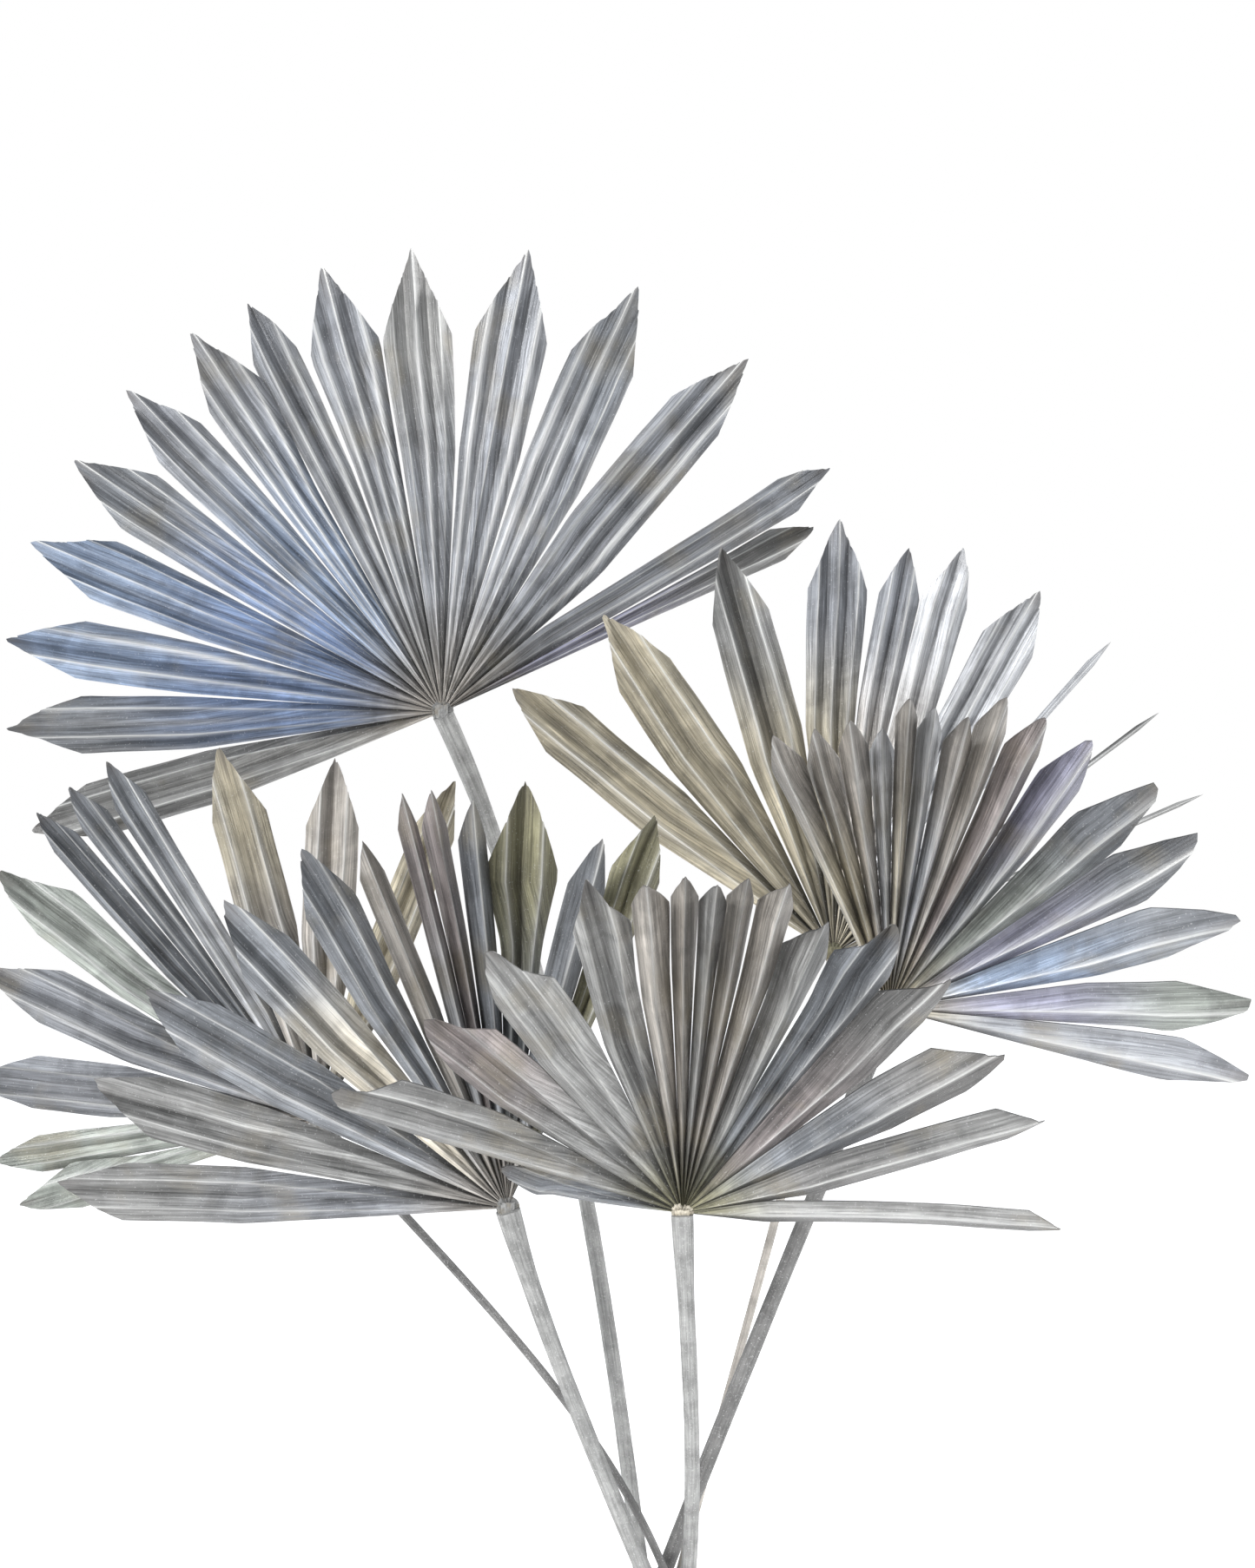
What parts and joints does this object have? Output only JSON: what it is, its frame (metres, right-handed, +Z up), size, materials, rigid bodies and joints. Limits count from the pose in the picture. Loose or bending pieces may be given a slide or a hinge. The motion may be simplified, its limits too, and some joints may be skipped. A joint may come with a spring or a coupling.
{
  "type": "dried palm fan bunch",
  "caption": "Free-standing bunch of dried sun-palm fans sprayed silver: pleated fan leaves split into pointed rays, on slim stems that cross inside a band and splay to their cut ends.",
  "frame": {"origin": "middle of the footprint box of the whole bunch, on the plane that the cut ends of the stems stand on", "axes": "+Z up, -Y towards the viewer (the side that the fans show their upper faces to), +X to the viewer's right"},
  "size_m": [0.4111, 0.2156, 0.5463],
  "materials": {
    "silver_leaf": "dried palm leaf sprayed silver, satin, with fibre streaks and light pleat lines",
    "blue_leaf": "dried palm leaf sprayed silver, with blue-violet patches",
    "tan_leaf": "dried palm leaf thinly sprayed silver, with tan and olive leaf showing through",
    "stem": "matte grey-beige silver over fine fibre streaks",
    "hastula": "matte, bare tan and cream where the paint is thin",
    "band": "matte rubber band under a mist of silver paint"
  },
  "bodies": {
    "root": {"back_left_stem": "stem", "back_left_hastula": "hastula", "back_left_rays_left": "blue_leaf", "back_left_rays_top": "silver_leaf", "back_left_rays_right": "silver_leaf", "back_right_stem": "stem", "back_right_hastula": "hastula", "back_right_rays_left": "tan_leaf", "back_right_rays_top": "silver_leaf", "back_right_rays_right": "silver_leaf", "right_stem": "stem", "right_hastula": "hastula", "right_rays_left": "silver_leaf", "right_rays_top": "silver_leaf", "right_rays_right": "silver_leaf", "front_stem": "stem", "front_hastula": "hastula", "front_rays_left": "silver_leaf", "front_rays_top": "silver_leaf", "front_rays_right": "silver_leaf", "left_stem": "stem", "left_hastula": "hastula", "left_rays_left": "silver_leaf", "left_rays_top": "silver_leaf", "left_rays_right": "silver_leaf", "far_left_stem": "stem", "far_left_hastula": "hastula", "far_left_rays_left": "silver_leaf", "far_left_rays_top": "silver_leaf", "far_left_rays_right": "tan_leaf", "binding_band": "band"}
  },
  "joints": []
}
